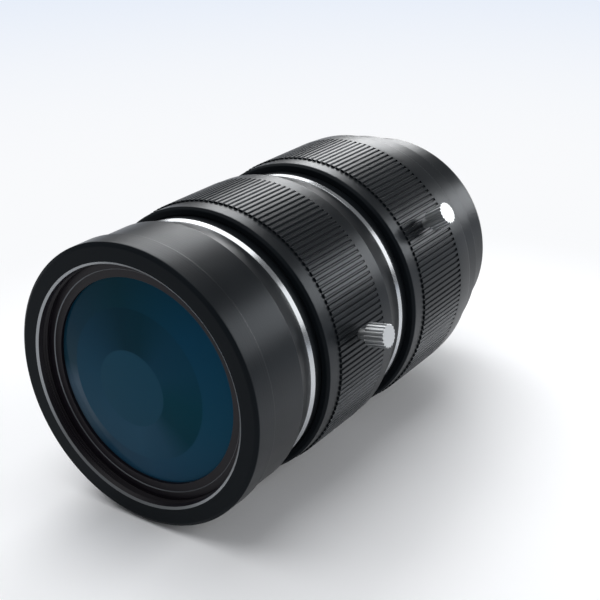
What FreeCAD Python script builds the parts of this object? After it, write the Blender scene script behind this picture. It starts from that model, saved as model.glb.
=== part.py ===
import FreeCAD, Part
import math
import os
import Sketcher

# Machine vision lens with a fixed focal length. Millimetres throughout.
# The optical axis runs along Y: the front glass looks towards -Y, the camera
# side is +Y, and the origin is the centre of the mount's flange seat.
# Stations are measured from the front face, at y = -flange_station.

doc = FreeCAD.newDocument("VisionLens")
sheet = doc.addObject("Spreadsheet::Sheet", "Size")


def settle(cells):
    """Write named values, or formulas of them, into the sheet."""
    for name, value in cells.items():
        row = len(sheet.getUsedCells()) // 2 + 1
        sheet.set(f"A{row}", name)
        sheet.set(f"B{row}", str(value))
        sheet.setAlias(f"B{row}", name)


SIZES = {
    # Gaps: round a turning ring, round a sliding tube, end to end, in a fixed joint.
    "fit_gap": 0.05,
    "slide_gap": 0.07,
    "axial_gap": 0.1,
    "joint_gap": 0.02,
    # Front glass: its radius sets the radii of all that stands round it.
    "front_glass_radius": 18.6,
    "front_clear_step": 1.2,
    "front_glass_rim": 3.7,
    "front_glass_bulge": 0.65,
    "front_glass_back_bulge": 0.6,
    # Filter thread and mouth of the front barrel.
    "ring_seat_step": 1.38,
    "filter_step": 0.25,
    "filter_depth": 2.05,
    "mouth_bevel_radius": 0.5,
    "mouth_bevel_depth": 0.25,
    # Retaining ring of the front glass.
    "front_ring_length": 2.3,
    "front_ring_recess": 1.2,
    "front_ring_step": 0.15,
    "front_ring_lip": 0.6,
    # Outside of the front barrel: bezel, straight part and taper.
    "face_bevel_radius": 0.6,
    "face_bevel_depth": 0.42,
    "bezel_length": 4.1,
    "bezel_bevel": 0.6,
    "bezel_step": 0.46,
    "front_straight_length": 7.75,
    "front_taper_length": 4.19,
    "front_taper_drop": 1.34,
    # Trim ring behind the front barrel, and the spigot that carries it.
    "trim_width": 0.7,
    "trim_rise": 0.3,
    "trim_length": 0.8,
    "spigot_length": 2.56,
    "seat_lip_step": 1.6,
    "seat_lip_thickness": 1.5,
    # Glass behind the lip of the front barrel.
    "second_glass_rim": 4.2,
    "second_glass_hollow": 0.9,
    "glass_spacer_wall": 1.6,
    "glass_spacer_length": 2.4,
    "third_glass_rim": 3.0,
    "third_glass_bulge": 0.8,
    "cell_nut_wall": 1.8,
    "cell_nut_length": 1.3,
    # Helicoid tube that carries the front barrel, its travel and its guide key.
    "helicoid_wall": 1.53,
    "helicoid_socket_wall": 0.9,
    "helicoid_length": 14.56,
    "focus_travel": 5.0,
    "key_radius": 1.0,
    "key_sink": 1.4,
    "key_top_gap": 0.2,
    # Focusing ring and the keeper that holds it.
    "bare_tube_length": 1.81,
    "focus_length": 24.65,
    "focus_wall": 1.7,
    "focus_front_bevel": 0.42,
    "focus_taper_length": 5.14,
    "focus_back_relief": 0.12,
    "focus_back_wall": 1.5,
    "helicoid_end_gap": 1.0,
    "keeper_length": 0.9,
    "focus_knurl_inset": 3.38,
    "focus_knurl_length": 13.5,
    # Knurls: ridges of one millimetre pitch that stand up from the plain band in front.
    "knurl_count": 150,
    "knurl_rise": 0.3,
    "groove_width": 0.38,
    "groove_depth": 0.25,
    "groove_half_floor": 0.13,
    # Main barrel, with the flange between the two rings.
    "main_wall": 1.9,
    "main_shoulder": 1.0,
    "main_setback": 2.75,
    "flange_length": 2.45,
    "centre_trim_step": 0.5,
    "centre_trim_rise": 0.15,
    "centre_trim_length": 0.86,
    # Iris ring.
    "iris_length": 21.05,
    "iris_wall": 3.4,
    "iris_bevel_radius": 0.42,
    "iris_bevel_length": 0.5,
    "iris_taper_length": 2.9,
    "iris_taper_drop": 0.17,
    "iris_knurl_inset": 3.35,
    "iris_knurl_length": 13.6,
    # Locking screws of the two rings.
    "focus_screw_inset": 9.55,
    "focus_screw_angle": 10.3,
    "iris_screw_inset": 10.15,
    "iris_screw_angle": 34.8,
    "screw_radius": 0.88,
    "screw_neck_length": 1.65,
    "screw_head_length": 3.5,
    "screw_head_radius": 2.0,
    "screw_head_bevel": 0.2,
    "screw_tip_gap": 0.15,
    "flute_count": 18,
    "flute_radius": 0.25,
    # Iris: leaves between a fixed plate and a turning cam ring.
    "plate_inset": 6.45,
    "plate_thickness": 1.0,
    "iris_opening": 9.2,
    "leaf_count": 6,
    "leaf_thickness": 0.2,
    "leaf_pitch": 0.3,
    "leaf_overhang": 0.2,
    "leaf_start": 2.0,
    "leaf_sweep": 103.0,
    "leaf_swing": 28.0,
    "pivot_inset": 2.0,
    "pivot_radius": 0.5,
    "pivot_grip": 0.8,
    "leaf_edge_step": 0.7,
    "driver_step": 0.2,
    "driver_along": 2.6,
    "driver_radius": 0.45,
    "driver_grip": 1.2,
    "lug_radius": 0.9,
    "cam_thickness": 2.0,
    "cam_step": 0.2,
    "slot_gap": 0.12,
    "iris_turn": 45.0,
    "drive_pin_radius": 0.7,
    "drive_pin_grip": 1.2,
    "drive_pin_reach": 1.6,
    "cell_keeper_wall": 1.6,
    "cell_keeper_length": 1.4,
    # Rear glass in its cell.
    "rear_cell_gap": 0.9,
    "rear_cell_bore": 13.0,
    "rear_cell_lip": 1.2,
    "rear_cell_flange": 1.0,
    "fourth_glass_rim": 3.0,
    "fourth_glass_bulge": 1.2,
    "fourth_glass_hollow": 0.9,
    "rear_spacer_length": 1.2,
    "rear_spacer_wall": 1.0,
    "fifth_glass_rim": 2.8,
    "fifth_glass_bulge": 0.9,
    "rear_nut_length": 1.2,
    "rear_nut_wall": 1.0,
    # Rear barrel.
    "rear_socket_length": 2.3,
    "rear_wide_length": 5.8,
    "rear_wall": 1.77,
    "rear_step_bevel": 0.2,
    "rear_neck_length": 8.5,
    "rear_neck_step": 2.22,
    "rear_bevel_length": 1.3,
    "rear_bevel_radius": 0.65,
    "rear_bore": 15.6,
    # Camera mount ring.
    "mount_screw_length": 6.0,
    "mount_flange_length": 2.0,
    "mount_flange_step": 0.6,
    "mount_thread_radius": 12.7,
    "mount_thread_length": 4.0,
    "mount_thread_bevel": 0.4,
    "mount_thread_wall": 2.1,
}
settle(SIZES)

# Radii, from the front glass outwards.
settle({
    "front_glass_clear_radius": "=front_glass_radius - front_clear_step",
    "seat_lip_radius": "=front_glass_radius - seat_lip_step",
    "front_ring_radius": "=front_glass_radius + joint_gap + ring_seat_step",
    "front_ring_step_radius": "=front_ring_radius - front_ring_recess",
    "filter_radius": "=front_ring_radius + filter_step",
    "iris_cell_radius": "=front_glass_radius",
    "main_bore": "=iris_cell_radius - main_shoulder",
    "main_radius": "=iris_cell_radius + main_wall",
    "helicoid_radius": "=main_radius + slide_gap + helicoid_wall",
    "trim_seat_radius": "=helicoid_radius - helicoid_socket_wall",
    "front_taper_radius": "=trim_seat_radius + trim_width",
    "front_barrel_radius": "=front_taper_radius + front_taper_drop",
    "bezel_radius": "=front_barrel_radius + bezel_step",
    "focus_radius": "=helicoid_radius + fit_gap + focus_wall",
    "focus_band_radius": "=focus_radius - knurl_rise",
    "focus_back_radius": "=focus_radius - focus_back_relief",
    "focus_taper_radius": "=main_radius + fit_gap + focus_back_wall",
    "flange_radius": "=focus_taper_radius + centre_trim_rise",
    "centre_trim_seat": "=main_radius + centre_trim_step",
    "iris_radius": "=main_radius + fit_gap + iris_wall",
    "iris_band_radius": "=iris_radius - knurl_rise",
    "iris_back_radius": "=iris_radius - iris_taper_drop",
    "screw_top": "=iris_radius + screw_neck_length + screw_head_length",
    "rear_radius": "=main_radius + rear_wall",
    "rear_neck_radius": "=rear_radius - rear_neck_step",
    "mount_flange_radius": "=rear_bore - mount_flange_step",
    "mount_bore": "=mount_thread_radius - mount_thread_wall",
    "pivot_circle": "=iris_cell_radius - pivot_inset",
    "leaf_outer": "=pivot_circle - leaf_edge_step",
    "leaf_inner": "=iris_opening - leaf_overhang",
    "driver_across": "=pivot_circle + driver_step",
    "cam_opening": "=iris_opening + cam_step",
    "groove_flare": "=groove_width - groove_half_floor",
})

# Stations behind the front face, from the front to the camera side.
settle({
    "front_ring_station": "=mouth_bevel_depth + filter_depth",
    "front_ring_back": "=front_ring_station + front_ring_length",
    "front_glass_station": "=front_ring_station + front_ring_step + front_ring_lip",
    "lip_front": "=front_glass_station + front_glass_rim",
    "lip_back": "=lip_front + seat_lip_thickness",
    "spacer_front": "=lip_back + second_glass_rim",
    "third_front": "=spacer_front + glass_spacer_length",
    "cell_nut_front": "=third_front + third_glass_rim",
    "front_taper_start": "=bezel_length + bezel_bevel + front_straight_length",
    "front_taper_end": "=front_taper_start + front_taper_length",
    "helicoid_front": "=front_taper_end + trim_length",
    "front_spigot_end": "=helicoid_front + spigot_length",
    "helicoid_end": "=helicoid_front + helicoid_length",
    "key_station": "=helicoid_end - focus_travel - key_radius",
    "focus_front": "=helicoid_front + bare_tube_length",
    "focus_back": "=focus_front + focus_length",
    "focus_taper_start": "=focus_back - focus_taper_length",
    "keeper_front": "=helicoid_end + helicoid_end_gap",
    "focus_shoulder": "=keeper_front + keeper_length + axial_gap",
    "focus_screw_station": "=focus_front + focus_screw_inset",
    "main_front": "=focus_front + main_setback",
    "flange_front": "=focus_back + axial_gap",
    "flange_back": "=flange_front + flange_length",
    "iris_front": "=flange_back + axial_gap",
    "iris_back": "=iris_front + iris_length",
    "iris_taper_start": "=iris_back - iris_taper_length",
    "iris_screw_station": "=iris_front + iris_screw_inset",
    "plate_station": "=iris_front + plate_inset",
    "leaf_front": "=plate_station + plate_thickness + axial_gap",
    "cam_front": "=leaf_front + leaf_count * leaf_pitch + axial_gap",
    "drive_station": "=cam_front + cam_thickness / 2",
    "cell_keeper_front": "=cam_front + cam_thickness + axial_gap",
    "rear_cell_front": "=cell_keeper_front + cell_keeper_length + rear_cell_gap",
    "fourth_front": "=rear_cell_front + rear_cell_flange",
    "rear_spacer_front": "=fourth_front + fourth_glass_rim",
    "fifth_front": "=rear_spacer_front + rear_spacer_length",
    "rear_nut_front": "=fifth_front + fifth_glass_rim",
    "rear_front": "=iris_back + axial_gap",
    "main_back": "=rear_front + rear_socket_length",
    "rear_step": "=rear_front + rear_wide_length",
    "rear_back": "=rear_step + rear_neck_length",
    "rear_bevel_start": "=rear_back - rear_bevel_length",
    "flange_station": "=rear_back + mount_flange_length",
})

# Angles about the optical axis, from +X towards +Z.
settle({
    "drive_pin_angle": "=iris_screw_angle + 180",
    "drive_slot_middle": "=drive_pin_angle + iris_turn / 2",
    "key_angle": "=drive_slot_middle - 180",
})

# Driving point of a leaf, with the iris open, half closed and closed, as seen
# from the optical axis, and the arc of the cam slot through these places.
settle({
    "arm_across": "=driver_across - pivot_circle",
    "middle_across": "=pivot_circle + arm_across * cos(leaf_swing / 2 * 1 deg)"
    " - driver_along * sin(leaf_swing / 2 * 1 deg)",
    "middle_along": "=arm_across * sin(leaf_swing / 2 * 1 deg)"
    " + driver_along * cos(leaf_swing / 2 * 1 deg)",
    "closed_across": "=pivot_circle + arm_across * cos(leaf_swing * 1 deg)"
    " - driver_along * sin(leaf_swing * 1 deg)",
    "closed_along": "=arm_across * sin(leaf_swing * 1 deg)"
    " + driver_along * cos(leaf_swing * 1 deg)",
    "open_reach": "=sqrt(driver_across ^ 2 + driver_along ^ 2)",
    "middle_reach": "=sqrt(middle_across ^ 2 + middle_along ^ 2)",
    "closed_reach": "=sqrt(closed_across ^ 2 + closed_along ^ 2)",
    "slot_offset": "=(open_reach - closed_reach) * 180 / (iris_turn * pi)",
    "slot_arc_radius": "=sqrt(middle_reach ^ 2 + slot_offset ^ 2)",
    "slot_half_width": "=driver_radius + slot_gap",
    "slot_arc_angle": "=iris_turn + 2 * slot_half_width / slot_arc_radius * 180 / pi",
    "drive_slot_angle": "=iris_turn + 2 * (drive_pin_radius + slot_gap) / main_radius * 180 / pi",
})
settle({
    "slot_middle_turn": "=atan(middle_along / middle_across) / 1 deg - iris_turn / 2",
    "slot_open_turn": "=atan(driver_along / driver_across) / 1 deg",
    "web_turn": "=(slot_open_turn + slot_middle_turn - iris_turn / 2 + 360 / leaf_count) / 2",
    "first_pivot_angle": "=drive_pin_angle - web_turn",
    "slot_lean": "=atan(slot_offset / middle_reach) / 1 deg",
    "leaf_last_turn": "=leaf_start + leaf_sweep",
    "leaf_lug_across": "=pivot_circle + lug_radius",
    "leaf_lug_along": "=driver_along + lug_radius",
})
for edge in ("inner", "outer"):
    for end in ("start", "last_turn"):
        settle({
            f"leaf_{edge}_{end}_across": f"=leaf_{edge} * cos(leaf_{end} * 1 deg)",
            f"leaf_{edge}_{end}_along": f"=leaf_{edge} * sin(leaf_{end} * 1 deg)",
        })
for index in range(SIZES["leaf_count"]):
    settle({
        f"leaf_{index + 1}_rise": f"={index} * leaf_pitch",
        f"leaf_{index + 1}_angle": f"=first_pivot_angle + {index} * 360 / leaf_count",
    })
doc.recompute()


def number(text):
    """Value of a sum of names and numbers separated by spaces."""
    total = 0.0
    sign = 1.0
    for word in str(text).split():
        if word in ("+", "-"):
            sign = 1.0 if word == "+" else -1.0
        else:
            total += sign * (sheet.get(word) if word[0].isalpha() else float(word))
    return total


def formula(text):
    """The same sum as an expression on the sheet."""
    words = [f"Size.{word}" if word[0].isalpha() else word for word in str(text).split()]
    return " ".join(words)


def plane(body, role):
    """Origin plane or axis of a body."""
    return next(item for item in body.Origin.OriginFeatures if item.Role == role)


def turned(angle):
    """Turn about the optical axis, from +X towards +Z."""
    return FreeCAD.Rotation(FreeCAD.Vector(0, -1, 0), number(angle))


def new_body(label, station="0", angle="0"):
    """Body at a station behind the front face, turned about the optical axis."""
    body = doc.addObject("PartDesign::Body", label)
    body.Label = label
    body.Placement = FreeCAD.Placement(FreeCAD.Vector(0, 0, 0), turned(angle))
    body.setExpression("Placement.Base.y", formula(f"{station} - flange_station"))
    return body


def stand_out(body, angle, reach):
    """Turn a body so that its own Y points away from the optical axis."""
    around = turned(angle)
    place = around.multVec(FreeCAD.Vector(number(reach), 0, 0))
    upright = FreeCAD.Rotation(FreeCAD.Vector(0, 0, 1), -90)
    place.y = body.Placement.Base.y
    body.Placement = FreeCAD.Placement(place, around.multiply(upright))


def new_sketch(body, role="XY_Plane", shift=("0", "0", "0")):
    """Sketch on an origin plane of the body, moved by a local shift."""
    sketch = body.newObject("Sketcher::SketchObject", f"{body.Name}_sketch")
    sketch.AttachmentSupport = [(plane(body, role), "")]
    sketch.MapMode = "FlatFace"
    for axis, amount in zip("xyz", shift):
        if str(amount) != "0":
            sketch.setExpression(f"AttachmentOffset.Base.{axis}", formula(amount))
    return sketch


def bind(sketch, kind, *where, to):
    """Driving constraint whose value follows the sheet."""
    index = sketch.addConstraint(Sketcher.Constraint(kind, *where, number(to)))
    sketch.setExpression(f"Constraints[{index}]", formula(to))


def pin_point(sketch, edge, end, across, along):
    """Fix one sketch point by its two coordinates."""
    for kind, axis, amount in (("DistanceX", -2, across), ("DistanceY", -1, along)):
        if str(amount) == "0":
            sketch.addConstraint(Sketcher.Constraint("PointOnObject", edge, end, axis))
        else:
            bind(sketch, kind, -1, 1, edge, end, to=amount)


def outline(sketch, corners, curved=()):
    """Closed outline through corners; curved edges have their centre on the axis."""
    spots = [FreeCAD.Vector(number(a), number(b), 0) for a, b in corners]
    ends = []
    for index, spot in enumerate(spots):
        other = spots[(index + 1) % len(spots)]
        if index not in curved:
            edge = sketch.addGeometry(Part.LineSegment(spot, other), False)
            ends.append((edge, 1, 2))
            continue
        squares = other.x**2 + other.y**2 - spot.x**2 - spot.y**2
        middle = FreeCAD.Vector(0, squares / (2 * (other.y - spot.y)), 0)
        first = math.atan2(spot.y - middle.y, spot.x)
        last = math.atan2(other.y - middle.y, other.x)
        whole = Part.Circle(middle, FreeCAD.Vector(0, 0, 1), spot.distanceToPoint(middle))
        arc = Part.ArcOfCircle(whole, min(first, last), max(first, last))
        edge = sketch.addGeometry(arc, False)
        ends.append((edge, 1, 2) if first < last else (edge, 2, 1))
        sketch.addConstraint(Sketcher.Constraint("PointOnObject", edge, 3, -2))
    for index, (edge, start, _) in enumerate(ends):
        before, _, stop = ends[index - 1]
        sketch.addConstraint(Sketcher.Constraint("Coincident", before, stop, edge, start))
        pin_point(sketch, edge, start, *corners[index])


def circle(sketch, across, along, radius):
    """Circle with a bound centre and radius."""
    spot = FreeCAD.Vector(number(across), number(along), 0)
    edge = sketch.addGeometry(
        Part.Circle(spot, FreeCAD.Vector(0, 0, 1), number(radius)), False
    )
    pin_point(sketch, edge, 3, across, along)
    bind(sketch, "Radius", edge, to=radius)


def lathe(label, station, corners, curved=(), angle="0"):
    """Turned body: corners are (radius, distance behind the body's origin)."""
    body = new_body(label, station, angle)
    sketch = new_sketch(body)
    outline(sketch, corners, curved)
    solid = body.newObject("PartDesign::Revolution", f"{body.Name}_solid")
    solid.Profile = sketch
    solid.ReferenceAxis = (sketch, ["V_Axis"])
    solid.Angle = 360
    doc.recompute()
    return body


def extrude(body, sketch, length, cut=False, back=False):
    """Pad or pocket of a bound length; back turns the direction round."""
    kind = "PartDesign::Pocket" if cut else "PartDesign::Pad"
    feature = body.newObject(kind, f"{body.Name}_run")
    feature.Profile = sketch
    feature.setExpression("Length", formula(length))
    feature.Reversed = back
    doc.recompute()
    return feature


def repeat(body, feature, count):
    """Pattern of a feature around the body's own Y axis."""
    pattern = body.newObject("PartDesign::PolarPattern", f"{body.Name}_around")
    pattern.Originals = [feature]
    pattern.Axis = (plane(body, "Y_Axis"), [""])
    pattern.Angle = 360
    pattern.setExpression("Occurrences", formula(count))
    body.Tip = pattern
    doc.recompute()


def side_hole(body, radius, station, start, length, behind=False):
    """Radial hole outwards from a signed start, along the body's own X or -X."""
    sketch = new_sketch(body, "YZ_Plane", ("0", "0", start))
    circle(sketch, station, "0", radius)
    return extrude(body, sketch, length, cut=True, back=not behind)


def knurl(body, radius, inset, length):
    """Straight grooves round a ring, cut from the front end of its ridges."""
    sketch = new_sketch(body, "XZ_Plane", ("0", "0", f"0 - {inset}"))
    outline(sketch, [
        (f"{radius} - groove_depth", "0 - groove_half_floor"),
        (f"{radius} + groove_depth", "0 - groove_flare"),
        (f"{radius} + groove_depth", "groove_flare"),
        (f"{radius} - groove_depth", "groove_half_floor"),
    ])
    groove = extrude(body, sketch, length, cut=True)
    repeat(body, groove, "knurl_count")


def plain_ring(label, station, inner, outer, length, angle="0"):
    """Ring of rectangular section."""
    return lathe(label, station, [
        (inner, "0"), (outer, "0"), (outer, length), (inner, length),
    ], angle=angle)


def glass(label, station, radius, clear, rim, front, back):
    """Lens with a ground rim, clear radii and bulge heights for front and back."""
    corners = [
        ("0", f"0 - {front}"),
        (clear[0], "0"),
        (radius, "0"),
        (radius, rim),
        (clear[1], rim),
        ("0", f"{rim} {back}"),
    ]
    return lathe(label, station, corners, curved=(0, 4))


# Front barrel: bezel, straight part, taper, trim ring seat and spigot.
lathe("front_barrel", "0", [
    ("filter_radius + mouth_bevel_radius", "0"),
    ("bezel_radius - face_bevel_radius", "0"),
    ("bezel_radius", "face_bevel_depth"),
    ("bezel_radius", "bezel_length"),
    ("front_barrel_radius", "bezel_length + bezel_bevel"),
    ("front_barrel_radius", "front_taper_start"),
    ("front_taper_radius", "front_taper_end"),
    ("trim_seat_radius", "front_taper_end"),
    ("trim_seat_radius", "front_spigot_end"),
    ("front_glass_radius + joint_gap", "front_spigot_end"),
    ("front_glass_radius + joint_gap", "lip_back"),
    ("seat_lip_radius", "lip_back"),
    ("seat_lip_radius", "lip_front"),
    ("front_glass_radius + joint_gap", "lip_front"),
    ("front_glass_radius + joint_gap", "front_ring_back"),
    ("front_ring_radius", "front_ring_back"),
    ("front_ring_radius", "front_ring_station"),
    ("filter_radius", "front_ring_station"),
    ("filter_radius", "mouth_bevel_depth"),
])
lathe("front_trim_ring", "front_taper_end", [
    ("trim_seat_radius + joint_gap", "0"),
    ("front_taper_radius", "0"),
    ("front_taper_radius + trim_rise", "trim_length"),
    ("trim_seat_radius + joint_gap", "trim_length"),
])
lathe("front_retaining_ring", "front_ring_station", [
    ("front_ring_step_radius", "0"),
    ("front_ring_radius - joint_gap", "0"),
    ("front_ring_radius - joint_gap", "front_ring_length"),
    ("front_glass_radius + joint_gap", "front_ring_length"),
    ("front_glass_radius + joint_gap", "front_ring_step + front_ring_lip"),
    ("front_glass_clear_radius", "front_ring_step + front_ring_lip"),
    ("front_glass_clear_radius", "front_ring_step"),
    ("front_ring_step_radius - front_ring_step", "front_ring_step"),
])

# Front glass group, pushed against the lip of the front barrel.
glass("front_lens", "front_glass_station",
      "front_glass_radius", ("front_glass_clear_radius", "seat_lip_radius"), "front_glass_rim",
      "front_glass_bulge", "+ front_glass_back_bulge")
lathe("second_lens", "lip_back", [
    ("0", "0"),
    ("front_glass_radius", "0"),
    ("front_glass_radius", "second_glass_rim"),
    ("seat_lip_radius", "second_glass_rim"),
    ("0", "second_glass_rim - second_glass_hollow"),
], curved=(3,))
plain_ring("front_spacer_ring", "spacer_front", "front_glass_radius - glass_spacer_wall",
           "front_glass_radius", "glass_spacer_length")
lathe("third_lens", "third_front", [
    ("0", "0 - third_glass_bulge"),
    ("seat_lip_radius", "0"),
    ("front_glass_radius", "0"),
    ("front_glass_radius", "third_glass_rim"),
    ("0", "third_glass_rim"),
], curved=(0,))
plain_ring("front_group_nut", "cell_nut_front", "front_glass_radius - cell_nut_wall",
           "front_glass_radius", "cell_nut_length")

# Helicoid tube behind the front barrel, with a slot that keeps it from turning.
helicoid = lathe("helicoid_tube", "helicoid_front", [
    ("trim_seat_radius + joint_gap", "0"),
    ("helicoid_radius", "0"),
    ("helicoid_radius", "helicoid_end - helicoid_front"),
    ("main_radius + slide_gap", "helicoid_end - helicoid_front"),
    ("main_radius + slide_gap", "front_spigot_end - helicoid_front"),
    ("trim_seat_radius + joint_gap", "front_spigot_end - helicoid_front"),
], angle="key_angle")
sketch = new_sketch(helicoid, "YZ_Plane", ("0", "0", "main_radius - key_sink"))
outline(sketch, [
    ("key_station - helicoid_front - key_radius - axial_gap", "0 - key_radius - fit_gap"),
    ("helicoid_end - helicoid_front + key_radius", "0 - key_radius - fit_gap"),
    ("helicoid_end - helicoid_front + key_radius", "key_radius + fit_gap"),
    ("key_station - helicoid_front - key_radius - axial_gap", "key_radius + fit_gap"),
])
extrude(helicoid, sketch, "helicoid_radius", cut=True, back=True)
key = lathe("focus_guide_key", "key_station", [
    ("0", "0"),
    ("key_radius", "0"),
    ("key_radius", "helicoid_radius - key_top_gap - main_radius + key_sink"),
    ("0", "helicoid_radius - key_top_gap - main_radius + key_sink"),
])
stand_out(key, "key_angle", "main_radius - key_sink")

# Focusing ring and the keeper that holds it on the main barrel.
focus = lathe("focus_ring", "focus_front", [
    ("helicoid_radius + fit_gap", "0"),
    ("focus_band_radius - focus_front_bevel", "0"),
    ("focus_band_radius", "focus_front_bevel"),
    ("focus_band_radius", "focus_knurl_inset"),
    ("focus_radius", "focus_knurl_inset"),
    ("focus_radius", "focus_knurl_inset + focus_knurl_length"),
    ("focus_back_radius", "focus_knurl_inset + focus_knurl_length"),
    ("focus_back_radius", "focus_taper_start - focus_front"),
    ("focus_taper_radius", "focus_back - focus_front"),
    ("main_radius + fit_gap", "focus_back - focus_front"),
    ("main_radius + fit_gap", "focus_shoulder - focus_front"),
    ("helicoid_radius + fit_gap", "focus_shoulder - focus_front"),
], angle="focus_screw_angle")
side_hole(focus, "screw_radius + fit_gap", "focus_screw_station - focus_front",
          "helicoid_radius - fit_gap", "focus_radius - helicoid_radius + key_radius")
knurl(focus, "focus_radius", "focus_knurl_inset", "focus_knurl_length")
plain_ring("focus_keeper_ring", "keeper_front", "main_radius + joint_gap",
           "helicoid_radius - slide_gap", "keeper_length")

# Main barrel: tube, flange between the rings, slot of the drive pin, key hole.
main = lathe("main_barrel", "main_front", [
    ("main_bore", "0"),
    ("main_radius", "0"),
    ("main_radius", "flange_front - main_front"),
    ("centre_trim_seat", "flange_front - main_front"),
    ("centre_trim_seat", "flange_front + centre_trim_length - main_front"),
    ("flange_radius", "flange_front + centre_trim_length - main_front"),
    ("flange_radius", "flange_back - main_front"),
    ("main_radius", "flange_back - main_front"),
    ("main_radius", "main_back - main_front"),
    ("iris_cell_radius", "main_back - main_front"),
    ("iris_cell_radius", "plate_station - main_front"),
    ("main_bore", "plate_station - main_front"),
], angle="drive_slot_middle")
sketch = new_sketch(main)
outline(sketch, [
    ("main_bore", "drive_station - main_front - drive_pin_radius - slot_gap"),
    ("flange_radius", "drive_station - main_front - drive_pin_radius - slot_gap"),
    ("flange_radius", "drive_station - main_front + drive_pin_radius + slot_gap"),
    ("main_bore", "drive_station - main_front + drive_pin_radius + slot_gap"),
])
slot = main.newObject("PartDesign::Groove", "drive_slot")
slot.Profile = sketch
slot.ReferenceAxis = (sketch, ["V_Axis"])
slot.Midplane = True
slot.setExpression("Angle", "Size.drive_slot_angle * 1 deg")
doc.recompute()
side_hole(main, "key_radius + joint_gap", "key_station - main_front",
          "key_sink - main_radius", "key_sink + key_radius", behind=True)
lathe("centre_trim_ring", "flange_front", [
    ("centre_trim_seat + joint_gap", "0"),
    ("focus_taper_radius", "0"),
    ("flange_radius", "centre_trim_length"),
    ("centre_trim_seat + joint_gap", "centre_trim_length"),
])

# Iris ring and the pin that carries its turn to the cam ring.
iris = lathe("iris_ring", "iris_front", [
    ("main_radius + fit_gap", "0"),
    ("iris_band_radius - iris_bevel_radius", "0"),
    ("iris_band_radius", "iris_bevel_length"),
    ("iris_band_radius", "iris_knurl_inset"),
    ("iris_radius", "iris_knurl_inset"),
    ("iris_radius", "iris_taper_start - iris_front"),
    ("iris_back_radius", "iris_back - iris_front"),
    ("main_radius + fit_gap", "iris_back - iris_front"),
], angle="iris_screw_angle")
side_hole(iris, "screw_radius + fit_gap", "iris_screw_station - iris_front",
          "main_radius - fit_gap", "iris_radius - main_radius + key_radius")
side_hole(iris, "drive_pin_radius + joint_gap", "drive_station - iris_front",
          "fit_gap - main_radius", "drive_pin_reach + fit_gap", behind=True)
knurl(iris, "iris_radius", "iris_knurl_inset", "iris_knurl_length")
pin = lathe("iris_drive_pin", "drive_station", [
    ("0", "0"),
    ("drive_pin_radius", "0"),
    ("drive_pin_radius", "main_radius + drive_pin_reach - iris_cell_radius + drive_pin_grip"),
    ("0", "main_radius + drive_pin_reach - iris_cell_radius + drive_pin_grip"),
])
stand_out(pin, "drive_pin_angle", "iris_cell_radius - drive_pin_grip")


def thumb_screw(label, station, angle, seat):
    """Radial locking screw with a fluted head, its tip just clear of a seat."""
    neck = f"screw_top - screw_head_length - {seat} - screw_tip_gap"
    top = f"screw_top - {seat} - screw_tip_gap"
    body = lathe(label, station, [
        ("0", "0"),
        ("screw_radius", "0"),
        ("screw_radius", neck),
        ("screw_head_radius - screw_head_bevel", neck),
        ("screw_head_radius", f"{neck} + screw_head_bevel"),
        ("screw_head_radius", f"{top} - screw_head_bevel"),
        ("screw_head_radius - screw_head_bevel", top),
        ("0", top),
    ])
    under = f"{seat} + screw_tip_gap + screw_head_length - screw_top"
    sketch = new_sketch(body, "XZ_Plane", ("0", "0", under))
    circle(sketch, "screw_head_radius", "0", "flute_radius")
    flute = extrude(body, sketch, "screw_head_length", cut=True)
    repeat(body, flute, "flute_count")
    stand_out(body, angle, f"{seat} + screw_tip_gap")


thumb_screw("focus_lock_screw", "focus_screw_station", "focus_screw_angle", "helicoid_radius")
thumb_screw("iris_lock_screw", "iris_screw_station", "iris_screw_angle", "main_radius")

# Iris plate, leaves, cam ring and the nut that holds them.
plate = plain_ring("iris_plate", "plate_station", "iris_opening",
                   "iris_cell_radius - joint_gap", "plate_thickness", "first_pivot_angle")
sketch = new_sketch(plate, "XZ_Plane")
circle(sketch, "pivot_circle", "0", "pivot_radius + fit_gap")
hole = extrude(plate, sketch, "plate_thickness", cut=True)
repeat(plate, hole, "leaf_count")


def iris_leaf(index):
    """One leaf with its pivot pin to the plate and driving pin to the cam."""
    body = new_body(f"iris_leaf_{index}", f"leaf_front + leaf_{index}_rise", f"leaf_{index}_angle")
    sketch = new_sketch(body, "XZ_Plane")
    ends = ("outer_start", "outer_last_turn", "inner_last_turn", "inner_start")
    outline(sketch, [(f"leaf_{end}_across", f"leaf_{end}_along") for end in ends], curved=(0, 2))
    extrude(body, sketch, "leaf_thickness", back=True)
    sketch = new_sketch(body, "XZ_Plane")
    outline(sketch, [
        ("leaf_outer - lug_radius", "0 - lug_radius"),
        ("leaf_lug_across", "0 - lug_radius"),
        ("leaf_lug_across", "leaf_lug_along"),
        ("leaf_outer - lug_radius", "leaf_lug_along"),
    ])
    extrude(body, sketch, "leaf_thickness", back=True)
    sketch = new_sketch(body, "XZ_Plane")
    circle(sketch, "pivot_circle", "0", "pivot_radius")
    extrude(body, sketch, f"leaf_{index}_rise + axial_gap + pivot_grip")
    sketch = new_sketch(body, "XZ_Plane", ("0", "0", "0 - leaf_thickness"))
    circle(sketch, "driver_across", "driver_along", "driver_radius")
    to_cam = f"cam_front - leaf_front - leaf_{index}_rise - leaf_thickness"
    extrude(body, sketch, f"{to_cam} + driver_grip", back=True)


for index in range(SIZES["leaf_count"]):
    iris_leaf(index + 1)

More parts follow.
